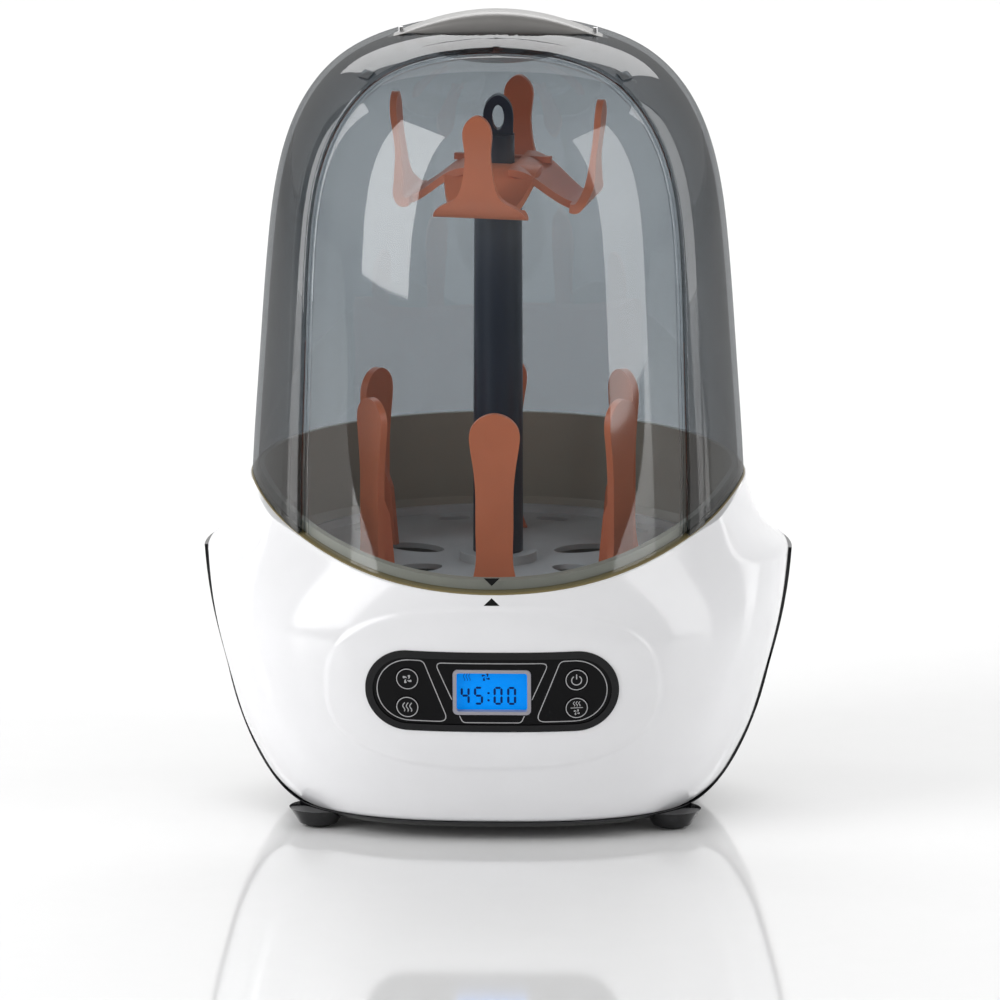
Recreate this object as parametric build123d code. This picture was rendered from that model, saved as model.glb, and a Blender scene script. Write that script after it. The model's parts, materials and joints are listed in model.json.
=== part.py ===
from build123d import *
import os
from math import copysign, cos, hypot, pi, radians, sin

# Countertop bottle sterilizer: bowl-shaped base, smoked dome cover with a front
# window, lift-out bottle rack with its post, and an accessory rack on the post.
# Millimetres, +Z up, front towards -Y, origin on the table under the centre.

os.makedirs("parts", exist_ok=True)

# ---------------------------------------------------------------- dimensions
# Bowl sections: height, half width, half depth, superellipse exponent.
BOWL = [
    (8.0, 99.5, 87.5, 2.6),
    (16.0, 108.0, 93.0, 2.6),
    (28.0, 116.0, 100.0, 2.6),
    (45.0, 124.0, 107.8, 2.6),
    (68.0, 131.0, 114.3, 2.6),
    (95.0, 137.8, 119.0, 2.55),
    (118.0, 141.4, 121.2, 2.2),
    (134.0, 142.6, 120.8, 1.85),
    (150.0, 142.9, 119.4, 1.58),
    (170.0, 142.9, 118.8, 1.5),
]
OVAL_STEPS = 32
HOUSING_WALL = 2.6
# The dark rear housing stands proud of the white one by this much.
LIP_SIDE = 1.7
LIP_DEPTH = 1.2
BASE_BOTTOM = 6.2
PARTING_Z = 128.0
SKIRT_Z = 9.5
PART_GAP = 0.1

# Rim line in side view (y, z): level behind, dropping to the front.
RIM_Z = 165.0
RIM_LINE = [(-10.0, 165.0), (-54.6, 156.1), (-90.6, 142.8), (-121.5, 129.8)]
RIM_OUTER_R = 121.3
RIM_INNER_R = 117.0
FLANGE_T = 2.6

# Shoulder of the base above its side tips (radius, z).
SHOULDER = [(143.4, 128.6), (137.0, 132.6), (127.7, 145.6), (122.5, 160.8), (121.3, 166.5)]

# Dome outer profile (radius, z), from below the rim to the crown.
DOME = [
    (121.7, 122.0),
    (120.3, 166.0),
    (116.9, 221.0),
    (112.5, 281.0),
    (106.6, 321.0),
    (95.1, 351.0),
    (76.9, 371.5),
    (56.0, 381.5),
    (36.0, 386.3),
    (0.0, 389.0),
]
DOME_WALL = 2.8
RIDGE_RISE = 0.8
WINDOW_INSET = 1.6
# Side view (y, z) of the two edges of the ridge that frames the window.
RIDGE_BACK = [(-66.0, 120.0), (-54.6, 283.0), (-49.5, 335.0), (-42.0, 372.0), (-24.0, 394.0)]
RIDGE_FRONT = [(-77.5, 120.0), (-65.0, 283.0), (-59.5, 335.0), (-52.0, 369.0), (-38.0, 394.0)]

HANDLE_HALF = 54.0
HANDLE_TOP = 395.5
HANDLE_LOW = 383.2
HANDLE_DEPTH = 11.5
RECESS_HALF = (43.0, 25.0, 17.0)
RECESS_Y = 2.0

# Control panel: tilted with the bowl's front.
PANEL_TILT = 10.3
PANEL_CENTRE = (0.0, -116.4, 80.9)
PANEL_SIZE = (123.5, 41.8)
BEZEL_RING = 3.6
KEY_R = 5.55
KEY_HOLE_R = 5.9
KEY_X = 41.2
KEY_DZ = 7.4
KEY_ROW_Z = -1.2
LCD_SIZE = (38.0, 23.6)
LCD_GLASS = (34.4, 20.2)

# Chamber and racks.
PLATE_Z = 103.3
TRAY_Z = 118.8
TRAY_R = 107.4
PRONG_RING = 70.0
PRONG_TOP = 209.0
POST_SHOULDER = 313.0
LOOP_TOP = 353.5
RACK_TURN = -10.0
ACC_TIP_Z = 353.0

FOOT_X = 86.5
FOOT_Y = 56.0
FOOT_R = 6.5
FOOT_H = 6.2
BLOWER = (-50.0, 56.0)


# ------------------------------------------------------------------- helpers
def oval(z, half_x, half_y, power):
    """Closed superellipse in a level plane."""
    points = []
    for i in range(OVAL_STEPS):
        angle = 2 * pi * i / OVAL_STEPS
        c = cos(angle)
        s = sin(angle)
        x = half_x * copysign(abs(c) ** (2 / power), c)
        y = half_y * copysign(abs(s) ** (2 / power), s)
        points.append(Vector(x, y, z))
    return Wire([Edge.make_spline(points, periodic=True)])


def bowl(grow, grow_y=None, foot=None):
    """Solid bowl, every section grown sideways, with an optional ring under it."""
    if grow_y is None:
        grow_y = grow
    rings = [foot] if foot else []
    for z, half_x, half_y, power in BOWL:
        rings.append(oval(z, half_x + grow, half_y + grow_y, power))
    return Part() + Solid.make_loft(rings)


def side_zone(curve, corners, reach=220.0):
    """Prism along X of a side-view outline: a smooth curve closed by corners."""
    start = curve[0]
    end = curve[-1]
    edge = Spline(*curve)
    close = Polyline(end, *corners, start)
    return extrude(Plane.YZ * make_face([edge, close]), amount=reach, both=True)


def above_rim(rise):
    """Space above the rim line, lifted by rise."""
    curve = Spline(*RIM_LINE, tangents=[(-1, 0), (-1, -0.36)])
    corners = Polyline(
        RIM_LINE[-1], (-170, 112.0), (-170, 460), (170, 460), (170, RIM_Z), RIM_LINE[0]
    )
    block = extrude(Plane.YZ * make_face([curve, corners]), amount=220, both=True)
    return Pos(0, 0, rise) * block


def ahead_of(curve):
    """Space in front of a side-view line."""
    return side_zone(curve, [(curve[-1][0], 420.0), (-200.0, 420.0), (-200.0, curve[0][1])])


def front_zone():
    """Space of the white housing: the front shield and the shoulder ring."""
    curve = [(-62.0, SKIRT_Z), (-24.0, 22.0), (-5.0, 58.0), (-1.0, PARTING_Z - 12)]
    edge = Spline(*curve, tangents=[(1, 0), (0, 1)])
    close = Polyline(
        curve[-1], (-1.0, PARTING_Z), (200, PARTING_Z), (200, 460), (-200, 460),
        (-200, SKIRT_Z), curve[0]
    )
    return extrude(Plane.YZ * make_face([edge, close]), amount=220, both=True)


def inset(points, depth):
    """Shift a (radius, z) outline inwards along its local normals."""
    moved = []
    last = len(points) - 1
    for i, (r, z) in enumerate(points):
        before = points[max(i - 1, 0)]
        after = points[min(i + 1, last)]
        dr = after[0] - before[0]
        dz = after[1] - before[1]
        if i == last:
            dr, dz = -1.0, 0.0
        size = hypot(dr, dz)
        moved.append((r - depth * dz / size, z + depth * dr / size))
    return moved


def spin(curve, tail):
    """Solid of revolution about Z of a smooth (radius, z) curve closed by corners."""
    edge = Spline(*curve)
    close = Polyline(curve[-1], *tail, curve[0])
    return revolve(Plane.XZ * make_face([edge, close]), Axis.Z, 360)


def lathe(points):
    """Solid of revolution about Z of a (radius, z) polygon."""
    return revolve(Plane.XZ * make_face(Polyline(*points, close=True)), Axis.Z, 360)


def dome(depth):
    """Solid dome, its surface moved inwards by depth."""
    points = inset(DOME, depth)
    points[-1] = (0.0, points[-1][1])
    edge = Spline(*points, tangents=[(points[1][0] - points[0][0], points[1][1] - points[0][1]), (-1, 0)])
    close = Polyline(points[-1], (0.0, points[0][1]), points[0])
    return revolve(Plane.XZ * make_face([edge, close]), Axis.Z, 360)


def pipe(r_out, r_in, low, high, x=0.0, y=0.0):
    """Upright tube, or rod when r_in is zero."""
    solid = Pos(x, y, (low + high) / 2) * Cylinder(r_out, high - low)
    if r_in > 0:
        solid -= Pos(x, y, (low + high) / 2) * Cylinder(r_in, high - low + 2)
    return solid


def block(x0, x1, y0, y1, z0, z1):
    """Box from its six bounds."""
    return Pos((x0 + x1) / 2, (y0 + y1) / 2, (z0 + z1) / 2) * Box(x1 - x0, y1 - y0, z1 - z0)


def ellipsoid(half_x, half_y, half_z):
    """Ellipsoid about the origin."""
    return scale(Sphere(1), by=(half_x, half_y, half_z))


def save(name, solid):
    """Write one node."""
    solid.label = name
    export_step(solid, "parts/" + name + ".step")
    print(name, len(solid.solids()), round(solid.volume / 1000, 2), "cm3")


def rim_core(depth):
    """Round core of the bowl's top, flush with the dome where the bowl is narrower."""
    r = RIM_OUTER_R - depth
    return lathe([(0, 121), (r - 4, 121), (r, 136), (r, 170), (0, 170)])


tilt = radians(PANEL_TILT)
PANEL = Plane(origin=PANEL_CENTRE, x_dir=(1, 0, 0), z_dir=(0, -cos(tilt), -sin(tilt)))


def pill(shrink, low=-30.0, high=20.0):
    """Prism of the panel outline along the panel's normal."""
    width = PANEL_SIZE[0] - 2 * shrink
    height = PANEL_SIZE[1] - 2 * shrink
    shape = RectangleRounded(width, height, height / 2 - 0.2)
    return PANEL * (Pos(0, 0, low) * extrude(shape, amount=high - low))


def lcd_prism(size, corner, low, high):
    """Rounded rectangular prism at the middle of the panel."""
    return PANEL * (Pos(0, 0, low) * extrude(RectangleRounded(*size, corner), amount=high - low))


def key_rod(x, dz, radius, low=-30.0, high=20.0):
    """Cylinder along the panel's normal at one key."""
    return PANEL * (Pos(x, dz, (low + high) / 2) * Cylinder(radius, high - low))


# ---------------------------------------------------------------- base skins
bowl_white = bowl(0) + rim_core(0)
bowl_dark = bowl(LIP_SIDE, LIP_DEPTH, oval(BASE_BOTTOM, 97.4, 85.6, 2.6))
bowl_inner = bowl(-HOUSING_WALL) + rim_core(HOUSING_WALL)
shoulder = spin(SHOULDER, [(0, 166.5), (0, 0), (143.4, 0)])
shoulder_inner = spin(
    [(r - HOUSING_WALL, z - 1.2) for r, z in SHOULDER], [(0, 165.3), (0, 0), (140.8, 0)]
)
rim_cut = above_rim(0)
white_zone = front_zone()
dark_zone = Pos(0, PART_GAP, -PART_GAP) * white_zone
cavity = (bowl_inner & shoulder_inner) - above_rim(-FLANGE_T)
cavity -= block(-200, 200, -200, 200, 0, SKIRT_Z)

KEYS = {
    "key_fan": (-KEY_X, KEY_ROW_Z + KEY_DZ),
    "key_steam": (-KEY_X, KEY_ROW_Z - KEY_DZ),
    "key_power": (KEY_X, KEY_ROW_Z + KEY_DZ),
    "key_auto": (KEY_X, KEY_ROW_Z - KEY_DZ),
}

# White housing: front shield, shoulder ring and the flange under the rim.
white = (bowl_white & shoulder) - rim_cut - cavity
white = white & white_zone
white -= pipe(RIM_INNER_R, 0, 100, 200)
white -= pill(-0.12)
for side in (-1, 1):
    pillar = pipe(4.6, 0, SKIRT_Z + 0.1, 46, side * 92, -20)
    rib = block(min(side * 92, side * 121), max(side * 92, side * 121), -21.2, -18.8, 36, 46)
    rib = rib & bowl(-1.0)
    white += (pillar + rib) - pipe(1.5, 0, 5, 30, side * 92, -20)
save("front_housing", white)

# Dark housing: back, floor and the proud lip round the white shield.
dark = bowl_dark - block(-200, 200, -200, 200, PARTING_Z - PART_GAP, 300)
dark = dark - cavity
dark = dark - dark_zone
for sx in (-1, 1):
    for sy in (-1, 1):
        boss = Pos(sx * FOOT_X, sy * FOOT_Y, 5.4) * Cone(9.4, 14.2, 7.6)
        dark += boss & block(-200, 200, -200, 200, 0, SKIRT_Z - 0.2)
        dark -= pipe(FOOT_R + 0.05, 0, 0, 6.2, sx * FOOT_X, sy * FOOT_Y)
SCREW_SPOTS = [(-92, -20), (92, -20), (-88, 40), (88, 40)]
for x, y in SCREW_SPOTS:
    dark -= pipe(3.3, 0, 0, 8.3, x, y)
    dark -= pipe(1.8, 0, 0, 12, x, y)
# Standoffs of the power board.
BOARD_SPOTS = [(-7, -43), (81, -43), (-7, 23), (81, 23)]
for x, y in BOARD_SPOTS:
    dark += pipe(3.6, 1.1, SKIRT_Z - 0.4, 14.0, x, y)
# Filter opening in the back wall.
FILTER_X = 29.0
FILTER_Z = (63.0, 95.0)
dark -= block(-FILTER_X, FILTER_X, 90, 140, FILTER_Z[0], FILTER_Z[1])
# Cord outlet.
GLAND = (45.0, 27.0)
gland_hole = Pos(GLAND[0], 95, GLAND[1]) * Rot(90, 0, 0) * Cylinder(6.1, 60)
dark -= gland_hole
# Flat seat of the gland's outer flange.
dark -= Pos(GLAND[0], 110, GLAND[1]) * Rot(90, 0, 0) * Cylinder(8.3, 20.2)
save("rear_housing", dark)

# ------------------------------------------------------------ chamber and rim
# Basin: floor ring, tray ledge, wall and the lip that rises inside the dome.
basin = lathe([
    (56, 100.2), (99, 100.2), (106.6, 107), (107.2, 116.0), (110.6, 116.0), (116.8, 127.0),
    (116.8, 172), (114.4, 172), (114.4, 127.6), (108.2, 118.4), (104.6, 118.4), (103.8, 108),
    (98, 102.6), (56, 102.6),
])
basin -= above_rim(5.0)
flange = pipe(118.3, 116.6, 110, 172) - above_rim(-FLANGE_T - PART_GAP)
basin += flange & above_rim(-FLANGE_T - 2.2)
for side in (-1, 1):
    basin += pipe(5.2, 1.5, SKIRT_Z + 0.1, 100.4, side * 88, 40)
# Vent chimney of the drying air, standing on the basin floor.
VENT_X = 14.0
VENT_Y = 78.0
basin -= block(VENT_X - 12, VENT_X + 12, VENT_Y - 12, VENT_Y + 12, 90, 110)
save("chamber_basin", basin)

seal = pipe(120.9, 117.3, 118, 172) - above_rim(0.6)
seal = seal & above_rim(0)
save("rim_seal", seal)

gasket = lathe([(56.4, 102.6), (61.6, 102.6), (61.6, PLATE_Z), (56.4, PLATE_Z)])
save("plate_gasket", gasket)

plate = lathe([
    (0, PLATE_Z), (61.6, PLATE_Z), (61.6, PLATE_Z + 1.2), (58, PLATE_Z + 1.2), (55, PLATE_Z + 0.6),
    (50, PLATE_Z + 0.6), (47, PLATE_Z + 1.2), (0, PLATE_Z + 1.2),
])
save("heater_plate", plate)

# Sheathed element under the plate, with its two terminal legs.
ELEMENT_R = 41.0
element_path = Pos(0, 0, PLATE_Z - 3.3) * CenterArc((0, 0), ELEMENT_R, -75, 330)
element = sweep(
    Plane(element_path @ 0, z_dir=element_path % 0) * Circle(3.2), path=element_path
)
for t in (0, 1):
    end = element_path @ t
    element += pipe(3.2, 0, PLATE_Z - 22, PLATE_Z - 3.3, end.X, end.Y) + Pos(
        end.X, end.Y, PLATE_Z - 3.3
    ) * Sphere(3.2)
    element += pipe(1.2, 0, PLATE_Z - 30, PLATE_Z - 22, end.X, end.Y)
save("heating_element", element)

# Bracket bar that holds the thermostat and the fuse up against the plate.
bracket = block(-30, 30, -7, 7, PLATE_Z - 12.4, PLATE_Z - 11)
for side in (-1, 1):
    bracket += block(side * 29 - 1.2, side * 29 + 1.2, -7, 7, PLATE_Z - 12.4, PLATE_Z - 0.05)
save("heater_bracket", bracket)
thermostat = pipe(8.0, 0, PLATE_Z - 6, PLATE_Z - 0.05, -12, 0) + pipe(6.6, 0, PLATE_Z - 11, PLATE_Z - 6, -12, 0)
save("thermostat", thermostat)
fuse = Pos(13, 0, PLATE_Z - 3.4) * Rot(90, 0, 0) * Cylinder(2.2, 12)
fuse += block(8, 18, -4, 4, PLATE_Z - 11, PLATE_Z - 5.0)
save("thermal_fuse", fuse)

# ------------------------------------------------------------- drying blower
bx, by = BLOWER
DUCT_LOW = VENT_Y - 12
DUCT_HIGH = VENT_Y + 12
PTC_X = (VENT_X - 32, VENT_X - 12)
blower = pipe(34, 0, 32, 60, bx, by) + block(bx, PTC_X[0] - 0.1, DUCT_LOW, DUCT_HIGH, 32, 60)
blower -= pipe(32, 0, 34, 57.6, bx, by) + block(bx, PTC_X[0] + 5, DUCT_LOW + 2, DUCT_HIGH - 2, 34, 58)
blower -= pipe(17, 0, 50, 70, bx, by) + pipe(4.0, 0, 20, 40, bx, by)
blower -= block(PTC_X[0] - 0.1, PTC_X[0] + 10, DUCT_LOW, DUCT_HIGH, 30, 62)
save("blower_housing", blower)

motor = pipe(15.5, 0, 12.6, 31.9, bx, by)
motor += pipe(19, 0, SKIRT_Z + 0.1, 12.6, bx, by)
motor -= pipe(2.06, 0, 20, 40, bx, by)
save("fan_motor", motor)

impeller = pipe(28, 0, 36, 37.4, bx, by) + pipe(6, 0, 36, 46, bx, by)
impeller += pipe(28, 24.6, 53.4, 54.8, bx, by)
for i in range(18):
    vane = Pos(25.6, 0, 45.4) * Rot(0, 0, 38) * Box(6.0, 0.9, 17.2)
    impeller += Pos(bx, by, 0) * Rot(0, 0, 20 * i) * vane
save("fan_impeller", impeller)
shaft = pipe(2.0, 0, 21, 36, bx, by)
save("motor_shaft", shaft)

ptc = block(*PTC_X, DUCT_LOW + 0.1, DUCT_HIGH - 0.1, 32.1, 59.9)
ptc -= block(PTC_X[0] - 5, PTC_X[1] + 5, DUCT_LOW + 2.4, DUCT_HIGH - 2.4, 34.4, 57.6)
for i in range(8):
    low = 36.4 + 2.7 * i
    ptc += block(PTC_X[0] + 2, PTC_X[1] - 2, DUCT_LOW + 2, DUCT_HIGH - 2, low, low + 0.8)
save("ptc_heater", ptc)

duct = block(PTC_X[1] + 0.1, VENT_X + 14, DUCT_LOW, DUCT_HIGH, 32, 60)
duct += block(VENT_X - 11.8, VENT_X + 11.9, DUCT_LOW + 0.1, DUCT_HIGH - 0.1, 60, 104)
duct -= block(PTC_X[1], VENT_X + 11.8, DUCT_LOW + 2, DUCT_HIGH - 2, 34, 58)
duct -= block(VENT_X - 9.8, VENT_X + 9.8, DUCT_LOW + 2.1, DUCT_HIGH - 2.1, 50, 110)
save("air_duct", duct)

# Louvred hood over the vent, above the water line.
hood = block(VENT_X - 14.5, VENT_X + 14.5, VENT_Y - 14.2, VENT_Y + 14.2, 102.7, 115.4)
hood = fillet(hood.edges().group_by(Axis.Z)[-1], 3.0)
hood -= block(VENT_X - 12.4, VENT_X + 12.4, VENT_Y - 12.3, VENT_Y + 12.3, 100, 113.6)
for i in range(5):
    hood -= block(VENT_X - 11 + 4.6 * i, VENT_X - 8.2 + 4.6 * i, 50, VENT_Y + 30, 105.4, 111.0)
save("air_outlet", hood)

# Filter tray behind the back wall, its cover and the filter block.
tray = block(-28.8, 28.8, 97.5, 125, 63.2, 94.8) - block(-27.2, 27.2, 99.2, 130, 64.8, 93.2)
tray = tray & bowl(-HOUSING_WALL - 0.1)
for i in range(6):
    tray -= block(-24 + 8.4 * i, -18 + 8.4 * i, 90, 105, 68, 90)
save("filter_tray", tray)
cover_block = block(-28.5, 28.5, 60, 140, 63.5, 94.5)
cover_skin = (bowl_dark - bowl(-0.7, -1.2)) & cover_block
for i in range(6):
    cover_skin -= block(-21, 21, 100, 140, 68.4 + 3.9 * i, 70.6 + 3.9 * i)
rails = block(-26.6, 26.6, 111.4, 125, 65.4, 67.0) + block(-26.6, 26.6, 111.4, 125, 91.0, 92.6)
cover_skin += rails & bowl(-0.2)
save("filter_cover", cover_skin)
filter_block = block(-26.6, 26.6, 99.8, 111.3, 65.2, 92.8)
for i in range(12):
    filter_block -= block(-25.4 + 4.3 * i, -23.2 + 4.3 * i, 99, 109.5, 66.5, 91.5)
save("air_filter", filter_block)

# ---------------------------------------------------------------- electronics
board = block(-12, 86, -48, 28, 14.0, 15.6)
for x, y in BOARD_SPOTS:
    board -= pipe(1.7, 0, 10, 20, x, y)
save("power_board", board)
screws = Part()
for x, y in BOARD_SPOTS:
    screws += pipe(3.0, 0, 15.6, 17.4, x, y) + pipe(1.05, 0, 11, 15.6, x, y)
save("board_screws", screws)
core = block(48, 80, -30, -2, 15.6, 22) + block(52, 76, -30, -2, 22, 42)
core += block(48, 80, -26, -6, 24, 40)
save("transformer", core)
relay = block(8, 27, -2, 14, 15.6, 31.6)
save("relay", fillet(relay.edges().group_by(Axis.Z)[-1], 0.8))
caps = Part()
for x, y, r, h in ((20, -34, 8, 28), (38, -36, 5, 17), (8, -22, 5, 15)):
    caps += pipe(r, 0, 15.6, 15.6 + h, x, y)
save("capacitors", caps)
terminals = block(50, 80, 8, 20, 15.6, 27) - block(51, 79, 17, 24, 20, 24)
for i in range(4):
    terminals -= pipe(2.2, 0, 24, 30, 54.5 + 7 * i, 13)
save("terminal_block", terminals)

# ---------------------------------------------------------------- control panel
prism = pill(0)
inner_prism = pill(BEZEL_RING)
skin_back = bowl(-3.0)
skin_floor = bowl(-0.9)
skin_glass = bowl(0.6)
bezel = prism & (bowl(1.3) - skin_back)
bezel -= inner_prism - skin_floor
bezel -= lcd_prism((LCD_SIZE[0] + 0.2, LCD_SIZE[1] + 0.2), 2.6, -30, 20)
for x, dz in KEYS.values():
    bezel -= key_rod(x, dz, KEY_HOLE_R)
save("panel_bezel", bezel)

glass = pill(BEZEL_RING + 0.1) & (skin_glass - bowl(-0.8))
glass -= lcd_prism((LCD_SIZE[0] + 0.2, LCD_SIZE[1] + 0.2), 2.6, -30, 20)
for x, dz in KEYS.values():
    glass -= key_rod(x, dz, KEY_HOLE_R)
save("panel_overlay", glass)

frame = lcd_prism(LCD_SIZE, 2.5, -1.6, 1.1) - lcd_prism(LCD_GLASS, 1.2, -5, 5)
save("lcd_frame", frame)
module = lcd_prism((LCD_SIZE[0] - 0.4, LCD_SIZE[1] - 0.4), 2.4, -8.0, -1.7)
save("lcd_module", module)

key_top = bowl(1.0)
key_mid = bowl(-3.4)
key_low = bowl(-4.5)
for name, (x, dz) in KEYS.items():
    key = key_rod(x, dz, KEY_R) & (key_top - key_mid)
    key += key_rod(x, dz, 6.6) & (bowl(-3.35) - key_low)
    save(name, key)

control = PANEL * (Pos(0, 0, -14.8) * Box(108, 34, 1.6))
for x in (-48, 48):
    control -= key_rod(x, 13.5, 1.6)
    control -= key_rod(x, -13.5, 1.6)
save("control_board", control)
switches = Part()
for x, dz in KEYS.values():
    switches += PANEL * (Pos(x, dz, -12.4) * Box(6, 6, 3.2))
    switches += key_rod(x, dz, 1.7, -10.8, -9.8)
save("tact_switches", switches)

# ---------------------------------------------------------------- dome cover
dome_out = dome(0)
dome_in = dome(DOME_WALL)
window_back = ahead_of(RIDGE_FRONT)
ridge_zone = ahead_of(RIDGE_BACK) - window_back
recess_at = Pos(0, RECESS_Y, 389.0)
recess = recess_at * ellipsoid(*RECESS_HALF)
recess_shell = recess_at * ellipsoid(*[h + DOME_WALL for h in RECESS_HALF])
rim_base = above_rim(0.9)
sill = above_rim(5.5)
shell = (dome_out - dome_in) + ((dome(-RIDGE_RISE) - dome_in) & ridge_zone)
shell -= window_back & sill
shell = (shell - recess_shell) + ((recess_shell - recess) & dome_out)
shell = shell & rim_base
for side in (-1, 1):
    shell -= pipe(1.7, 0, 370, 392, side * 47.5, 0)
save("dome_shell", shell)

# Window: stepped panel, its skirt tucked behind the ridge.
tucked = ahead_of([(y + 6.0, z) for y, z in RIDGE_FRONT])
face_zone = ahead_of([(y - 0.2, z) for y, z in RIDGE_FRONT]) & above_rim(5.7)
window = (dome(WINDOW_INSET) - dome(DOME_WALL + 0.1 + 1.8)) & face_zone
behind = (dome(DOME_WALL + 0.1) - dome(DOME_WALL + 0.1 + 1.8)) & tucked & above_rim(5.7)
window = (window + behind) - (recess_at * ellipsoid(*[h + DOME_WALL + 0.2 for h in RECESS_HALF]))
save("window_panel", window)

clips = Part()
ridge_top = dome(-RIDGE_RISE - 0.02)
for side in (-1, 1):
    seat = Plane(
        origin=(side * 62.3, -46.2, 371.6), x_dir=(0.596, side * 0.803, 0),
        z_dir=(side * 0.495, -0.367, 0.788),
    )
    clip = seat * Box(8.0, 5.0, 3.0)
    clips += clip - ridge_top
save("window_clips", clips)

# Lens-shaped carrying handle across the crown.
arc = ThreePointArc((-HANDLE_HALF, 381.6), (0, HANDLE_TOP), (HANDLE_HALF, 381.6))
under = Polyline(
    (HANDLE_HALF, 381.6), (HANDLE_HALF - 3, 378), (44, 378), (40, HANDLE_LOW), (-40, HANDLE_LOW),
    (-44, 378), (-HANDLE_HALF + 3, 378), (-HANDLE_HALF, 381.6)
)
lens = extrude(Plane.XZ * make_face([arc, under]), amount=HANDLE_DEPTH, both=True)
plan = extrude(Ellipse(HANDLE_HALF + 8, HANDLE_DEPTH), amount=420)
lens = lens & plan
handle = lens - dome(-0.05)
handle += (lens & recess) - (recess_at * (ellipsoid(*RECESS_HALF) - ellipsoid(*[h - 0.05 for h in RECESS_HALF])))
for side in (-1, 1):
    handle -= pipe(1.25, 0, 360, 388, side * 47.5, 0)
save("dome_handle", handle)
handle_screws = Part()
for side in (-1, 1):
    handle_screws += pipe(1.2, 0, 377, 387, side * 47.5, 0) + pipe(3.2, 0, 375, 377.2, side * 47.5, 0)
save("handle_screws", handle_screws)

# ---------------------------------------------------------------- bottle rack
rack_tray = pipe(TRAY_R, 0, TRAY_Z, TRAY_Z + 2.6) + pipe(TRAY_R, TRAY_R - 2.2, TRAY_Z, TRAY_Z + 6.5)
rack_tray += pipe(19, 0, TRAY_Z, TRAY_Z + 7)
rack_tray -= pipe(12.3, 0, TRAY_Z - 1, TRAY_Z + 10)
for i in range(6):
    turn = Rot(0, 0, 60 * i)
    slot = Pos(0, -47, TRAY_Z) * extrude(Ellipse(9, 15), amount=8, both=True)
    rack_tray -= turn * slot
    for spread in (-15, 15):
        hole = Pos(0, -93, TRAY_Z) * extrude(SlotOverall(16, 7), amount=8, both=True)
        rack_tray -= Rot(0, 0, 60 * i + spread) * hole
    socket = Rot(0, 0, 60 * i) * block(-9.4, 9.4, -PRONG_RING - 2.2, -PRONG_RING + 2.2, TRAY_Z - 5, 130)
    rack_tray -= socket
save("rack_tray", rack_tray)

# Six upright paddles that hold the bottles by the inside.
front = make_face(
    Spline(
        (-12.6, 121.6), (-9.6, 131), (-9.2, 150), (-9.4, 172), (-11.6, 190), (-11.4, 202), (0, PRONG_TOP),
        (11.4, 202), (11.6, 190), (9.4, 172), (9.2, 150), (9.6, 131), (12.6, 121.6),
    ).edges() + Line((12.6, 121.6), (-12.6, 121.6)).edges()
)
paddle = Pos(0, -PRONG_RING, 0) * extrude(Plane.XZ * front, amount=1.8, both=True)
rib_side = Polyline(
    (-PRONG_RING, 121.6), (-PRONG_RING + 12, 121.6), (-PRONG_RING + 9, 150), (-PRONG_RING, 172), close=True
)
paddle += extrude(Plane.YZ * make_face(rib_side), amount=1.6, both=True)
paddle += block(-9, 9, -PRONG_RING - 2.0, -PRONG_RING + 2.0, TRAY_Z, 123)
prongs = Part()
for i in range(6):
    prongs += Rot(0, 0, 60 * i) * paddle
save("bottle_prongs", prongs)

# Post with its neck and the lifting loop at the top.
post = spin([(12.25, TRAY_Z), (12.1, 200), (11.6, POST_SHOULDER)], [(0, POST_SHOULDER), (0, TRAY_Z)])
post += pipe(8.0, 0, POST_SHOULDER, 334)
loop = make_face(
    Spline((7.3, 330), (7.4, 342), (5.3, 350), (0, LOOP_TOP), (-5.3, 350), (-7.4, 342), (-7.3, 330)).edges()
    + Line((-7.3, 330), (7.3, 330)).edges()
)
eye = Pos(0, 342.5) * Ellipse(2.9, 6.2)
post += extrude(Plane.XZ * loop, amount=3.0, both=True)
post -= extrude(Plane.XZ * eye, amount=9, both=True)
save("rack_post", post)

# ------------------------------------------------------------- accessory rack
HUB_R = 13.5
hub = pipe(HUB_R, 8.35, POST_SHOULDER + 0.3, 320)
arm_side = Spline(
    (10, 318), (24, 312), (36, 303), (44, 300.5), (48.5, 306), (50, 322), (52.2, 340), (52.8, ACC_TIP_Z)
)
arm_back = Spline(
    (49.6, ACC_TIP_Z), (49.0, 340), (46.8, 322), (44.6, 309), (42.6, 304.8), (36, 307), (25, 315.4), (10, 321.2)
)
arm_face = make_face(
    arm_side.edges() + Line((52.8, ACC_TIP_Z), (49.6, ACC_TIP_Z)).edges() + arm_back.edges()
    + Line((10, 321.2), (10, 318)).edges()
)
arm = extrude(Plane.XZ * arm_face, amount=24, both=True)
# Seen along the arm: a slim rounded prong growing out of a wide dished root.
outline = make_face(
    Spline(
        (-23.5, 299), (-21, 305), (-11.5, 311), (-7.4, 322), (-6.5, 336), (-6.2, 348), (0, ACC_TIP_Z),
        (6.2, 348), (6.5, 336), (7.4, 322), (11.5, 311), (21, 305), (23.5, 299),
    ).edges() + Line((23.5, 299), (-23.5, 299)).edges()
)
upper = extrude(Plane.YZ * outline, amount=80) & block(40, 80, -30, 30, 290, 400)
lower = extrude(Ellipse(50, 25), amount=340) & block(0, 41, -30, 30, 290, 340)
arm = arm & (upper + lower)
rack = Part() + hub
for i in range(4):
    rack += Rot(0, 0, -90 + RACK_TURN + 90 * i) * arm
rack -= pipe(8.35, 0, 300, 330)
save("accessory_rack", rack)

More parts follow.
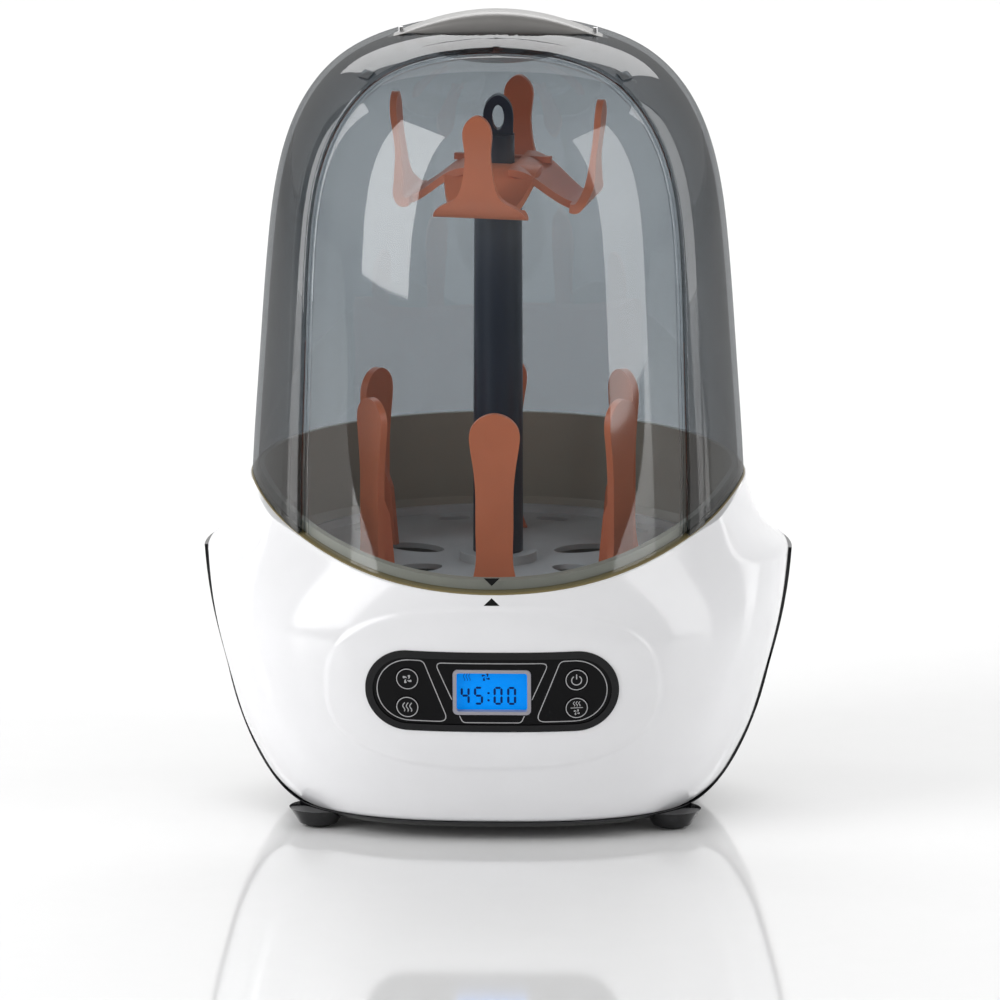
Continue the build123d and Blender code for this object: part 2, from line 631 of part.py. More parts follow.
# ---------------------------------------------------------------- feet, screws
feet = Part()
for sx in (-1, 1):
    for sy in (-1, 1):
        feet += pipe(FOOT_R, 0, 0, FOOT_H - 0.05, sx * FOOT_X, sy * FOOT_Y)
feet = fillet(feet.edges().group_by(Axis.Z)[0], 0.8)
save("rubber_feet", feet)
screws = Part()
for x, y in SCREW_SPOTS:
    screws += pipe(3.1, 0, 6.8, 8.3, x, y) + pipe(1.45, 0, 8.3, 26, x, y)
save("housing_screws", screws)
gland = Pos(GLAND[0], 0, GLAND[1]) * (
    Pos(0, 92, 0) * Rot(90, 0, 0) * Cylinder(6.0, 20) + Pos(0, 101.2, 0) * Rot(90, 0, 0) * Cylinder(8.2, 2.4)
    + Pos(0, 84, 0) * Rot(90, 0, 0) * Cylinder(8.2, 3)
)
gland -= Pos(GLAND[0], 92, GLAND[1]) * Rot(90, 0, 0) * Cylinder(3.6, 60)
save("cord_gland", gland)
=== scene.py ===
import json
import math

import bmesh
import bpy
import numpy as np
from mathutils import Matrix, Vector


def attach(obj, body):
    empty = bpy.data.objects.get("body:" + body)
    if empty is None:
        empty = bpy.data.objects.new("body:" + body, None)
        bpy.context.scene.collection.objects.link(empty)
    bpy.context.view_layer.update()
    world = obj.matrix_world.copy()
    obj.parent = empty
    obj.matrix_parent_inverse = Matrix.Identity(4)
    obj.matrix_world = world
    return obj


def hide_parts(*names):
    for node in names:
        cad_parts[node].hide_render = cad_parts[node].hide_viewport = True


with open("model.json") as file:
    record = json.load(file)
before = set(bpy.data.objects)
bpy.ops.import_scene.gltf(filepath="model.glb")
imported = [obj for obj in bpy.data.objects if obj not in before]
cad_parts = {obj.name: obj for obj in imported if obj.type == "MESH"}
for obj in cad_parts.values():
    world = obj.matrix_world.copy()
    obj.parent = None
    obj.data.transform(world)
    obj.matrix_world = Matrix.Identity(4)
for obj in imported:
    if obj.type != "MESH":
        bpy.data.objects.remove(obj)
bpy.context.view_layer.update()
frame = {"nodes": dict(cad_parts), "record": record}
nodes = frame["nodes"]


# ------------------------------------------------------------------ materials
def new_material(name):
    """An empty material with its output node."""
    mat = bpy.data.materials.new(name)
    mat.use_nodes = True
    tree = mat.node_tree
    tree.nodes.clear()
    out = tree.nodes.new("ShaderNodeOutputMaterial")
    return mat, tree, out


def node(tree, kind, **settings):
    """One shader node; settings with a capital first letter are its sockets."""
    made = tree.nodes.new(kind)
    for key, value in settings.items():
        if key[0].isupper():
            made.inputs[key.replace("_", " ")].default_value = value
        else:
            setattr(made, key, value)
    return made


def noise(tree, scale, detail=2.0):
    """Noise over object coordinates, in metres."""
    coords = node(tree, "ShaderNodeTexCoord")
    made = node(tree, "ShaderNodeTexNoise", Scale=scale, Detail=detail)
    tree.links.new(coords.outputs["Object"], made.inputs["Vector"])
    return made.outputs["Fac"]


def spread(tree, value, low, high):
    """Map a 0-1 value onto low-high."""
    made = node(tree, "ShaderNodeMapRange", To_Min=low, To_Max=high)
    tree.links.new(value, made.inputs["Value"])
    return made.outputs["Result"]


def bumped(tree, value, strength, distance):
    """Bump normal from a height."""
    made = node(tree, "ShaderNodeBump", Strength=strength, Distance=distance)
    tree.links.new(value, made.inputs["Height"])
    return made.outputs["Normal"]


def tinted(tree, value, first, second, places=(0.35, 0.65)):
    """Colour between two, by a 0-1 value that crosses over between the places."""
    ramp = node(tree, "ShaderNodeValToRGB")
    for element, place, color in zip(ramp.color_ramp.elements, places, (first, second)):
        element.position = place
        element.color = (*color, 1)
    tree.links.new(value, ramp.inputs["Fac"])
    return ramp.outputs["Color"]


def maths(tree, operation, first, second):
    """Result of one operation on two values, each a number or a socket."""
    made = node(tree, "ShaderNodeMath", operation=operation)
    for socket, value in zip(made.inputs, (first, second)):
        if isinstance(value, float):
            socket.default_value = value
        else:
            tree.links.new(value, socket)
    return made.outputs["Value"]


def blended(tree, share, first, second):
    """Mix of two shaders; share is the second one's part, a number or a socket."""
    made = node(tree, "ShaderNodeMixShader")
    if isinstance(share, float):
        made.inputs["Fac"].default_value = share
    else:
        tree.links.new(share, made.inputs["Fac"])
    tree.links.new(first, made.inputs[1])
    tree.links.new(second, made.inputs[2])
    return made.outputs["Shader"]


MOTTLE_SCALE = 55.0
GRAIN_DEPTH = 0.0001


def solid(name, color, rough, metal=0.0, coat=0.0, vary=0.04, grain=900.0, bump=0.03, specular=0.5,
          subsurface=0.0):
    """Opaque material with a slight mottle in colour and gloss and a fine moulded grain."""
    mat, tree, out = new_material(name)
    shader = node(tree, "ShaderNodeBsdfPrincipled", Metallic=metal, Coat_Weight=coat, Coat_Roughness=0.04,
                  Specular_IOR_Level=specular)
    if subsurface:
        shader.inputs["Subsurface Weight"].default_value = subsurface
        shader.inputs["Subsurface Radius"].default_value = (0.004, 0.002, 0.001)
        shader.inputs["Subsurface Scale"].default_value = 1.0
    broad = noise(tree, MOTTLE_SCALE, 3.0)
    fine = noise(tree, grain, 4.0)
    dark = tuple(c * (1 - vary) for c in color)
    light = tuple(min(1.0, c * (1 + vary)) for c in color)
    tree.links.new(tinted(tree, broad, dark, light), shader.inputs["Base Color"])
    tree.links.new(spread(tree, fine, max(0.0, rough * 0.82), rough * 1.18), shader.inputs["Roughness"])
    tree.links.new(bumped(tree, fine, bump, GRAIN_DEPTH), shader.inputs["Normal"])
    tree.links.new(shader.outputs["BSDF"], out.inputs["Surface"])
    return mat


SMOKE_ROUGH = 0.03
SMOKE_BODY = (0.03, 0.034, 0.038, 1)
SMOKE_HAZE = 0.03
SMOKE_GLOSS = (0.06, 0.24)


def smoked(name, tint, edge_tint):
    """Thin clear plastic: tinted see-through, darker and glossier at grazing angles, glossy outside only."""
    mat, tree, out = new_material(name)
    facing = node(tree, "ShaderNodeLayerWeight", Blend=0.35)
    wisp = noise(tree, 30.0, 2.0)
    clear = node(tree, "ShaderNodeBsdfTransparent")
    tree.links.new(tinted(tree, facing.outputs["Facing"], tint, edge_tint, (0.25, 0.95)), clear.inputs["Color"])
    milky = node(tree, "ShaderNodeBsdfPrincipled", Base_Color=SMOKE_BODY, Specular_IOR_Level=0.5)
    tree.links.new(spread(tree, wisp, SMOKE_ROUGH * 0.7, SMOKE_ROUGH * 1.3), milky.inputs["Roughness"])
    shine = node(tree, "ShaderNodeBsdfGlossy", Color=(1, 1, 1, 1), Roughness=SMOKE_ROUGH)
    grazing = node(tree, "ShaderNodeLayerWeight", Blend=0.5)
    fresnel = spread(tree, maths(tree, "POWER", grazing.outputs["Facing"], 5.0), *SMOKE_GLOSS)
    surface = node(tree, "ShaderNodeNewGeometry")
    outside = maths(tree, "SUBTRACT", 1.0, surface.outputs["Backfacing"])
    share = maths(tree, "MULTIPLY", fresnel, outside)
    hazy = blended(tree, SMOKE_HAZE, clear.outputs["BSDF"], milky.outputs["BSDF"])
    tree.links.new(blended(tree, share, hazy, shine.outputs["BSDF"]), out.inputs["Surface"])
    return mat


def glowing(name, color, strength):
    """Backlit surface with a faint cell grain."""
    mat, tree, out = new_material(name)
    shader = node(tree, "ShaderNodeBsdfPrincipled", Roughness=0.25, Specular_IOR_Level=0.08,
                  Emission_Strength=strength)
    fine = noise(tree, 1500.0, 1.0)
    dark = tuple(c * 0.93 for c in color)
    tone = tinted(tree, fine, dark, color)
    tree.links.new(tone, shader.inputs["Base Color"])
    tree.links.new(tone, shader.inputs["Emission Color"])
    tree.links.new(shader.outputs["BSDF"], out.inputs["Surface"])
    return mat


MATS = {
    "white_shell": solid("white_shell", (0.84, 0.84, 0.855), 0.12, vary=0.006, bump=0.006),
    "dark_shell": solid("dark_shell", (0.006, 0.006, 0.007), 0.08, bump=0.008, specular=0.4),
    "basin": solid("basin", (0.40, 0.37, 0.30), 0.3, vary=0.02),
    "seal": solid("seal", (0.20, 0.16, 0.07), 0.5),
    "stainless": solid("stainless", (0.60, 0.60, 0.59), 0.28, metal=1.0, bump=0.05),
    "silicone": solid("silicone", (0.42, 0.38, 0.29), 0.5),
    "element": solid("element", (0.30, 0.27, 0.25), 0.35, metal=1.0),
    "zinc_steel": solid("zinc_steel", (0.55, 0.56, 0.58), 0.3, metal=1.0),
    "thermostat": solid("thermostat", (0.60, 0.60, 0.62), 0.3, metal=1.0),
    "fuse_sleeve": solid("fuse_sleeve", (0.70, 0.67, 0.58), 0.8, grain=2500, bump=0.3),
    "inner_grey": solid("inner_grey", (0.20, 0.21, 0.22), 0.5),
    "impeller": solid("impeller", (0.03, 0.03, 0.032), 0.45),
    "shaft_steel": solid("shaft_steel", (0.66, 0.66, 0.67), 0.2, metal=1.0),
    "ptc_fins": solid("ptc_fins", (0.66, 0.67, 0.68), 0.3, metal=1.0),
    "filter_media": solid("filter_media", (0.80, 0.80, 0.77), 0.95, grain=3000, bump=0.5),
    "circuit_board": solid("circuit_board", (0.012, 0.085, 0.035), 0.35, vary=0.12),
    "screw_steel": solid("screw_steel", (0.62, 0.62, 0.63), 0.25, metal=1.0),
    "transformer": solid("transformer", (0.30, 0.21, 0.04), 0.5, vary=0.1),
    "relay": solid("relay", (0.01, 0.035, 0.16), 0.25),
    "capacitor": solid("capacitor", (0.01, 0.012, 0.03), 0.25),
    "terminals": solid("terminals", (0.62, 0.62, 0.56), 0.5),
    "panel_black": solid("panel_black", (0.004, 0.004, 0.005), 0.10, bump=0.006, specular=0.3),
    "panel_gloss": solid("panel_gloss", (0.004, 0.004, 0.0045), 0.12, bump=0.004, specular=0.12),
    "lcd_silver": solid("lcd_silver", (0.34, 0.33, 0.37), 0.32, metal=0.3),
    "lcd_blue": glowing("lcd_blue", (0.0, 0.19, 0.66), 0.66),
    "key_black": solid("key_black", (0.004, 0.004, 0.0045), 0.12, bump=0.004, specular=0.12),
    "switch_black": solid("switch_black", (0.02, 0.02, 0.02), 0.5),
    "smoked_clear": smoked("smoked_clear", (0.54, 0.56, 0.575), (0.24, 0.25, 0.26)),
    "window_clear": smoked("window_clear", (0.89, 0.915, 0.93), (0.5, 0.53, 0.55)),
    "clip_clear": smoked("clip_clear", (0.6, 0.63, 0.65), (0.3, 0.32, 0.34)),
    "handle_grey": solid("handle_grey", (0.22, 0.213, 0.205), 0.38, coat=0.1, bump=0.05),
    "tray_grey": solid("tray_grey", (0.56, 0.57, 0.57), 0.4),
    "coral": solid("coral", (0.72, 0.20, 0.09), 0.38, vary=0.03, subsurface=0.15),
    "navy": solid("navy", (0.006, 0.014, 0.034), 0.35),
    "print_grey": solid("print_grey", (0.42, 0.42, 0.43), 0.5, bump=0.01),
    "print_black": solid("print_black", (0.004, 0.004, 0.004), 0.45, bump=0.01, specular=0.2),
    "display_ink": solid("display_ink", (0.002, 0.02, 0.13), 0.5, bump=0.01, specular=0.1),
    "display_idle": solid("display_idle", (0.0, 0.12, 0.50), 0.5, bump=0.01, specular=0.1),
    "rubber": solid("rubber", (0.012, 0.012, 0.012), 0.75, bump=0.15),
    "gland_rubber": solid("gland_rubber", (0.014, 0.014, 0.015), 0.65, bump=0.15),
}
slot_of = {s["node"]: s["material_slot"] for s in frame["record"]["subparts"]}
for name, obj in nodes.items():
    obj.data.materials.clear()
    obj.data.materials.append(MATS[slot_of[name]])


# ---------------------------------------------------------------- outlines, in millimetres
# Bowl: height, half width, half depth and the power of its oval section.
BOWL = np.array([
    (8.0, 99.5, 87.5, 2.6), (16.0, 108.0, 93.0, 2.6), (28.0, 116.0, 100.0, 2.6), (45.0, 124.0, 107.8, 2.6),
    (68.0, 131.0, 114.3, 2.6), (95.0, 137.8, 119.0, 2.55), (118.0, 141.4, 121.2, 2.2),
    (134.0, 142.6, 120.8, 1.85), (150.0, 142.9, 119.4, 1.58), (170.0, 142.9, 118.8, 1.5),
])
# Radius and height of the shoulder, then depth and height of the shield's parting and of the rim.
SHOULDER = [(143.4, 128.6), (137.0, 132.6), (127.7, 145.6), (122.5, 160.8), (121.3, 166.5)]
PARTING = [(-62.0, 9.5), (-24.0, 22.0), (-5.0, 58.0), (-1.0, 116.0)]
RIM_LINE = [(-121.5, 129.8), (-90.6, 142.8), (-54.6, 156.1), (-10.0, 165.0)]
# Radius and height of the dome's outside, then depth and height of the two ridge lines on it.
DOME = [
    (121.7, 122.0), (120.3, 166.0), (116.9, 221.0), (112.5, 281.0), (106.6, 321.0), (95.1, 351.0),
    (76.9, 371.5), (56.0, 381.5), (36.0, 386.3), (0.0, 389.0),
]
RIDGE_BACK = [(-66.0, 120.0), (-54.6, 283.0), (-49.5, 335.0), (-42.0, 372.0), (-24.0, 394.0)]
RIDGE_FRONT = [(-77.5, 120.0), (-65.0, 283.0), (-59.5, 335.0), (-52.0, 369.0), (-38.0, 394.0)]
RIM_R = 121.3
RIM_FRONT, RIM_SLOPE = -121.5, 0.36
SEAM_R = 121.0
SHIELD_FOOT, SHOULDER_FOOT = 9.5, 128.0
# The round top inside the bowl: its heights and radii.
CORE_Z, CORE_R = [115, 121, 136, 170], [60, 117.3, RIM_R, RIM_R]
# The faint oval round the control panel: half width, half height, middle, power, step and half its width.
OVAL_X, OVAL_Z, OVAL_MIDDLE, OVAL_POWER, OVAL_RISE, OVAL_EDGE = 81.0, 41.5, 81.5, 2.6, 0.75, 1.1
PANEL_CENTRE = np.array((0.0, -116.4, 80.9))
PANEL_HALF_HEIGHT, PANEL_STRAIGHT = 20.9, 40.85
TILT = math.radians(10.3)
PANEL_UP = np.array((0.0, -math.sin(TILT), math.cos(TILT)))
PANEL_OUT = np.array((0.0, -math.cos(TILT), -math.sin(TILT)))


def cubic(knots, values, start=None, end=None):
    """Function through the values with continuous curvature; ends are free unless a slope is given."""
    t = np.asarray(knots, float)
    v = np.asarray(values, float).reshape(len(t), -1)
    h = np.diff(t)
    slope = np.diff(v, axis=0) / h[:, None]
    system = np.eye(len(t))
    right = np.zeros_like(v)
    for i in range(1, len(t) - 1):
        system[i, i - 1:i + 2] = h[i - 1], 2 * (h[i - 1] + h[i]), h[i]
        right[i] = 6 * (slope[i] - slope[i - 1])
    if start is not None:
        system[0, :2] = 2 * h[0], h[0]
        right[0] = 6 * (slope[0] - np.asarray(start))
    if end is not None:
        system[-1, -2:] = h[-1], 2 * h[-1]
        right[-1] = 6 * (np.asarray(end) - slope[-1])
    bend = np.linalg.solve(system, right)

    def at(x):
        x = np.clip(np.asarray(x, float), t[0], t[-1])
        i = np.clip(np.searchsorted(t, x) - 1, 0, len(t) - 2)
        w = h[i][..., None]
        d = (x - t[i])[..., None]
        e = w - d
        low = (v[i] / w - bend[i] * w / 6) * e
        high = (v[i + 1] / w - bend[i + 1] * w / 6) * d
        return (bend[i] * e ** 3 + bend[i + 1] * d ** 3) / (6 * w) + low + high

    return at


def curve(points, start=None, end=None, count=4000):
    """Dense samples of a smooth curve through the points."""
    points = np.asarray(points, float)
    chord = np.r_[0, np.cumsum(np.linalg.norm(np.diff(points, axis=0), axis=1))]
    unit = [None if s is None else np.asarray(s, float) / np.linalg.norm(s) for s in (start, end)]
    return cubic(chord, points, *unit)(np.linspace(0, chord[-1], count))


def smooth(value, low, high):
    """0 below low, 1 above high, eased between."""
    t = np.clip((value - low) / (high - low), 0, 1)
    return t * t * (3 - 2 * t)


section = cubic(BOWL[:, 0], BOWL[:, 1:])
shoulder_line = curve(SHOULDER)
parting_line = curve(PARTING, (1, 0), (0, 1))
rim_line = curve(RIM_LINE, (1, 0.36), (1, 0))
ridge_front = curve(RIDGE_FRONT)
ridge_back = curve(RIDGE_BACK)
profile = curve(DOME, (-1.4, 44.0), (-1, 0))
PROFILE_LENGTH = np.r_[0, np.cumsum(np.linalg.norm(np.diff(profile, axis=0), axis=1))]
tangent = np.gradient(profile, axis=0)
tangent /= np.linalg.norm(tangent, axis=1)[:, None]
PROFILE_NORMAL = np.c_[tangent[:, 1], -tangent[:, 0]]


def xyz(r, theta, z):
    """Points from radii, angles and heights."""
    return np.stack([r * np.cos(theta), r * np.sin(theta), z], -1)


def rim_z(y):
    """Height of the base's rim at a depth."""
    return np.interp(y, rim_line[:, 0], rim_line[:, 1]) + np.minimum(y - RIM_FRONT, 0) * RIM_SLOPE


def oval_r(theta, z):
    """Radius of the bowl's oval section."""
    a, b, n = np.moveaxis(section(z), -1, 0)
    return (np.abs(np.cos(theta) / a) ** n + np.abs(np.sin(theta) / b) ** n) ** (-1 / n)


def soft_max(first, second, blend):
    """Larger of two values, with the change between them rounded over about the blend."""
    return blend * np.logaddexp(first / blend, second / blend)


def white_r(theta, z):
    """Radius of the white housing: the bowl, its round top and its shoulder, blended."""
    bowl = oval_r(theta, z)
    wide = soft_max(bowl, np.interp(z, CORE_Z, CORE_R), 0.4)
    order = np.argsort(shoulder_line[:, 1])
    shoulder = np.interp(z, shoulder_line[order, 1], shoulder_line[order, 0])
    shoulder = shoulder + np.maximum(SHOULDER[0][1] - z, 0) * 3.0
    return -soft_max(-wide, -shoulder, 0.5)


def oval_rise(x, z):
    """How far the faint oval round the control panel stands out at a place on the front."""
    u = np.abs(x / OVAL_X) + 1e-6
    v = np.abs((z - OVAL_MIDDLE) / OVAL_Z) + 1e-6
    f = (u ** OVAL_POWER + v ** OVAL_POWER) ** (1 / OVAL_POWER)
    slope = np.hypot((u / f) ** (OVAL_POWER - 1) / OVAL_X, (v / f) ** (OVAL_POWER - 1) / OVAL_Z)
    return OVAL_RISE * (1 - smooth((f - 1) / slope, -OVAL_EDGE, OVAL_EDGE))


def in_pill(u, v, shrink):
    """Whether a place on the panel's plane is inside its outline, made smaller all round."""
    side = np.maximum(np.abs(u) - PANEL_STRAIGHT, 0)
    return np.hypot(side, v) < PANEL_HALF_HEIGHT - shrink


# ---------------------------------------------------------------- mesh pieces
MM = 0.001
MERGE = 0.02 * MM


def strip(rows, cols, start=0, closed=False):
    """Quads of a grid stored row by row; closed joins the last column to the first."""
    faces = []
    last = cols if closed else cols - 1
    for j in range(rows - 1):
        for i in range(last):
            k = (i + 1) % cols
            base = start + j * cols
            faces.append((base + i, base + k, base + cols + k, base + cols + i))
    return faces


def edit(mesh, action):
    """Change a mesh in its editable form."""
    work = bmesh.new()
    work.from_mesh(mesh)
    action(work)
    work.to_mesh(mesh)
    work.free()


def merged(work):
    """Join points that lie on each other."""
    bmesh.ops.remove_doubles(work, verts=work.verts, dist=MERGE)
    bmesh.ops.dissolve_degenerate(work, edges=work.edges, dist=MERGE)


def piece(name, points, faces, mat, body, hides=(), wall=0.0, merge=False):
    """Smooth mesh from millimetre points, riding a body."""
    mesh = bpy.data.meshes.new(name)
    mesh.from_pydata([tuple(MM * c for c in p) for p in points], [], faces)
    if merge:
        edit(mesh, merged)
    mesh.materials.append(mat)
    obj = bpy.data.objects.new(name, mesh)
    bpy.context.scene.collection.objects.link(obj)
    mesh.shade_smooth()
    if wall:
        solidify = obj.modifiers.new("wall", "SOLIDIFY")
        solidify.thickness = wall * MM
        solidify.offset = -1
        mesh.set_sharp_from_angle(angle=math.radians(50))
    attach(obj, body)
    if hides:
        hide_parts(*hides)
    return obj


# ---------------------------------------------------------------- white housing
# The shield's edges are rolled in: a few rows and columns lie close together there.
ROLL = np.array([0.0, 0.05, 0.15, 0.3, 0.5])
ROLL_R, ROLL_PULL = 0.5, 0.45
SHIELD_LENGTH = 400
ROWS_Z = np.r_[SHIELD_FOOT + ROLL, np.linspace(10.6, SHOULDER_FOOT, 116)]
COLS = np.r_[ROLL, np.linspace(1.2, SHIELD_LENGTH - 1.2, 360), SHIELD_LENGTH - ROLL[::-1]] / SHIELD_LENGTH
part_y = np.interp(ROWS_Z, parting_line[:, 1], parting_line[:, 0])
low = np.full(len(ROWS_Z), -math.pi / 2)
high = np.full(len(ROWS_Z), 0.0)
for _ in range(40):
    mid = (low + high) / 2
    ahead = white_r(mid, ROWS_Z) * np.sin(mid) < part_y
    low = np.where(ahead, mid, low)
    high = np.where(ahead, high, mid)
edge = (low + high) / 2
theta = (-math.pi - edge)[:, None] + COLS[None, :] * (math.pi + 2 * edge)[:, None]
zz = np.repeat(ROWS_Z[:, None], len(COLS), 1)
rr = white_r(theta, zz)
from_side = np.minimum(COLS, 1 - COLS)[None, :] * SHIELD_LENGTH
from_low = (ROWS_Z - SHIELD_FOOT)[:, None]
for gap in (from_side, from_low):
    near = np.clip(1 - gap / ROLL_R, 0, 1)
    rr = rr - ROLL_PULL * (1 - np.sqrt(1 - near ** 2))
rr = rr + oval_rise(rr * np.cos(theta), zz)
front_cols = len(COLS)
points = [xyz(rr, theta, zz).reshape(-1, 3)]
faces = strip(len(ROWS_Z), front_cols)

# Shoulder ring above the parting, all the way round, with the rounded rim and its inward flange.
back = np.linspace(edge[-1], math.pi - edge[-1], 242)[1:-1]
ring_theta = np.r_[theta[-1], back]
ring_cols = len(ring_theta)
ring = []
top_r = np.full(ring_cols, RIM_R)
for _ in range(6):
    top_z = rim_z(top_r * np.sin(ring_theta)) - 0.5
    top_r = white_r(ring_theta, top_z)
for t in np.linspace(0, 1, 22)[1:]:
    z = SHOULDER_FOOT + t * (top_z - SHOULDER_FOOT)
    r = white_r(ring_theta, z)
    ring.append((r + np.where(np.sin(ring_theta) < 0, oval_rise(r * np.cos(ring_theta), z), 0), z))
for inward, drop in ((0.04, 0.31), (0.15, 0.15), (0.31, 0.04), (0.5, 0.0)):
    r = top_r - inward
    ring.append((r, rim_z(r * np.sin(ring_theta)) - drop))
for r, drop in ((119.0, 0), (117.4, 0), (117.1, 0.12), (117.0, 0.4)):
    ring.append((np.full(ring_cols, r), rim_z(r * np.sin(ring_theta)) - drop))
start = len(points[0])
first_front = (len(ROWS_Z) - 1) * front_cols
back_z = np.full(len(back), SHOULDER_FOOT)
points.append(xyz(white_r(back, back_z), back, back_z))
row_ids = [list(range(first_front, first_front + front_cols)) + list(range(start, start + len(back)))]
count = start + len(back)
for r, z in ring:
    points.append(xyz(r, ring_theta, z))
    row_ids.append(list(range(count, count + ring_cols)))
    count += ring_cols
for lower, upper in zip(row_ids, row_ids[1:]):
    for i in range(ring_cols):
        k = (i + 1) % ring_cols
        faces.append((lower[i], lower[k], upper[k], upper[i]))
points = np.concatenate(points)

# The skin stops under the panel's bezel ring.
kept = []
for face in faces:
    centre = points[list(face)].mean(0) - PANEL_CENTRE
    if centre[1] < 60 and in_pill(centre[0], centre @ PANEL_UP, 1.9):
        continue
    kept.append(face)
piece("base_shell_skin", points, kept, MATS["white_shell"], "base", ("front_housing",), wall=2.3)


# ---------------------------------------------------------------- dome
def dome_at(length, out=0.0):
    """Radius and height on the dome's profile at a length along it, moved outwards."""
    r = np.interp(length, PROFILE_LENGTH, profile[:, 0])
    z = np.interp(length, PROFILE_LENGTH, profile[:, 1])
    nr = np.interp(length, PROFILE_LENGTH, PROFILE_NORMAL[:, 0])
    nz = np.interp(length, PROFILE_LENGTH, PROFILE_NORMAL[:, 1])
    return r + out * nr, z + out * nz


def length_at(z):
    """Length along the profile at a height."""
    return np.interp(z, profile[:, 1], PROFILE_LENGTH)


def ridge_angle(line, r, z, shift=0.0):
    """Angle where a ridge line crosses the dome at a height, on its +X side."""
    y = np.interp(z, line[:, 1], line[:, 0]) + shift
    return np.arcsin(np.clip(y / np.maximum(r, 0.1), -1, 1))


def settle(rows, columns, bottom):
    """Angles and lengths of a grid whose columns follow the ridge lines and whose rows start over the rim."""
    theta = np.zeros((len(rows), columns.count))
    for _ in range(12):
        foot = length_at(rim_z(SEAM_R * np.sin(theta)) + bottom)
        length = foot + rows[:, None] * (columns.end - foot)
        r, z = dome_at(length)
        theta = columns.place(r, z)
    return theta, length


# Finger recess: middle and half widths across the crown, top and depth.
RECESS_Y, RECESS_A, RECESS_B, CROWN_Z, RECESS_DEPTH, RECESS_ABOVE = 2.0, 43.0, 25.0, 389.0, 17.0, 340


def dip(p):
    """Lower the crown into the finger recess under the handle."""
    spot = (p[:, 0] / RECESS_A) ** 2 + ((p[:, 1] - RECESS_Y) / RECESS_B) ** 2
    floor = CROWN_Z - RECESS_DEPTH * np.sqrt(np.clip(1 - spot, 0, 1))
    inside = (spot < 1) & (p[:, 2] > RECESS_ABOVE)
    p[:, 2] = np.where(inside, np.minimum(-soft_max(-p[:, 2], -floor, 0.8), p[:, 2]), p[:, 2])
    return p


NEAR_AXIS = 12.0
RIDGE_RISE, RIDGE_ROUND = 0.8, 0.35


def both_sides(count, rows, angle_of, turn):
    """Angles of all columns, from a function for the first half, mirrored by an angle."""
    out = np.zeros((rows, count))
    for i in range((count + 1) // 2):
        out[:, i] = angle_of(i, i)
        out[:, count - 1 - i] = turn - angle_of(i, count - 1 - i)
    return out


class ShellColumns:
    """Columns of the shell: ridge, its rear edge, then the side to the back, mirrored."""
    ridge = np.array([0, 0.012, 0.03, 0.06, 0.1, 0.18, 0.3, 0.42, 0.54, 0.66, 0.76])
    edge = np.array([-1.0, -0.7, -0.4, -0.1, 0.2, 0.5, 0.8, 1.2])
    side = np.linspace(0, 1, 70)[1:]
    past_ridge, past_edge = len(ridge), len(ridge) + len(edge)
    count = 2 * (past_edge + len(side)) - 1
    end = PROFILE_LENGTH[-1] - 0.4

    @classmethod
    def place(cls, r, z):
        """Angles of the columns at radii and heights on the dome."""
        front = ridge_angle(ridge_front, r, z)
        back = ridge_angle(ridge_back, r, z)

        def angle_of(i, col):
            f = front[:, col]
            b = back[:, col]
            width = (b - f) * r[:, col]
            scale = np.clip(width / 8.0, 0, 1) / np.maximum(r[:, col], NEAR_AXIS)
            if i < cls.past_ridge:
                return f + cls.ridge[i] * (b - f)
            if i < cls.past_edge:
                return b + cls.edge[i - cls.past_ridge] * scale
            last = b + cls.edge[-1] * scale
            return last + cls.side[i - cls.past_edge] * (math.pi / 2 - last)

        return both_sides(cls.count, len(r), angle_of, math.pi)


def shell_out(theta, r, z):
    """Rise of the ridge over the dome, with rounded edges."""
    mirrored = np.where(theta > math.pi / 2, math.pi - theta, theta)
    back = ridge_angle(ridge_back, r, z)
    front = ridge_angle(ridge_front, r, z)
    past = (mirrored - back) * r
    ahead = (mirrored - front) * r
    rise = RIDGE_RISE * (1 - smooth(past, -1.0, 0.9))
    return rise - RIDGE_ROUND * (1 - smooth(ahead, 0.0, 0.6)) * (front > -1.55)


SHELL_BAND = 5.5
rows = np.r_[0.0, 0.0015, 0.006, np.linspace(0.012, 0.72, 70), np.linspace(0.724, 1.0, 70)[1:]]
theta, length = settle(rows, ShellColumns, SHELL_BAND)
r, z = dome_at(length)
r, z = dome_at(length, shell_out(theta, r, z))
upper = xyz(r, theta, z)

# Foot of the shell: heights over the rim, and how far the edge is rounded in at each.
foot_theta = theta[0]
band = []
for lift, pull in ((0.9, 0.35), (0.97, 0.16), (1.1, 0.05), (1.4, 0.0), (3.4, 0.0), (SHELL_BAND, 0.0)):
    length = length_at(rim_z(SEAM_R * np.sin(foot_theta)) + lift)
    r, z = dome_at(length)
    r, z = dome_at(length, shell_out(foot_theta, r, z) - pull)
    band.append(xyz(r, foot_theta, z))
n = len(foot_theta)
points = dip(np.concatenate([*band, upper[1:].reshape(-1, 3)]))
grid_rows = len(band) + len(rows) - 1
faces = strip(grid_rows, n)
faces.append(tuple(range((grid_rows - 1) * n, grid_rows * n)))
piece("dome_shell_clear", points, faces, MATS["smoked_clear"], "cover", ("dome_shell",),
      wall=2.7, merge=True)


TUCK, WINDOW_GAP = 1.5, 0.2
WINDOW_DEPTH, WINDOW_STEP = 1.6, 1.3


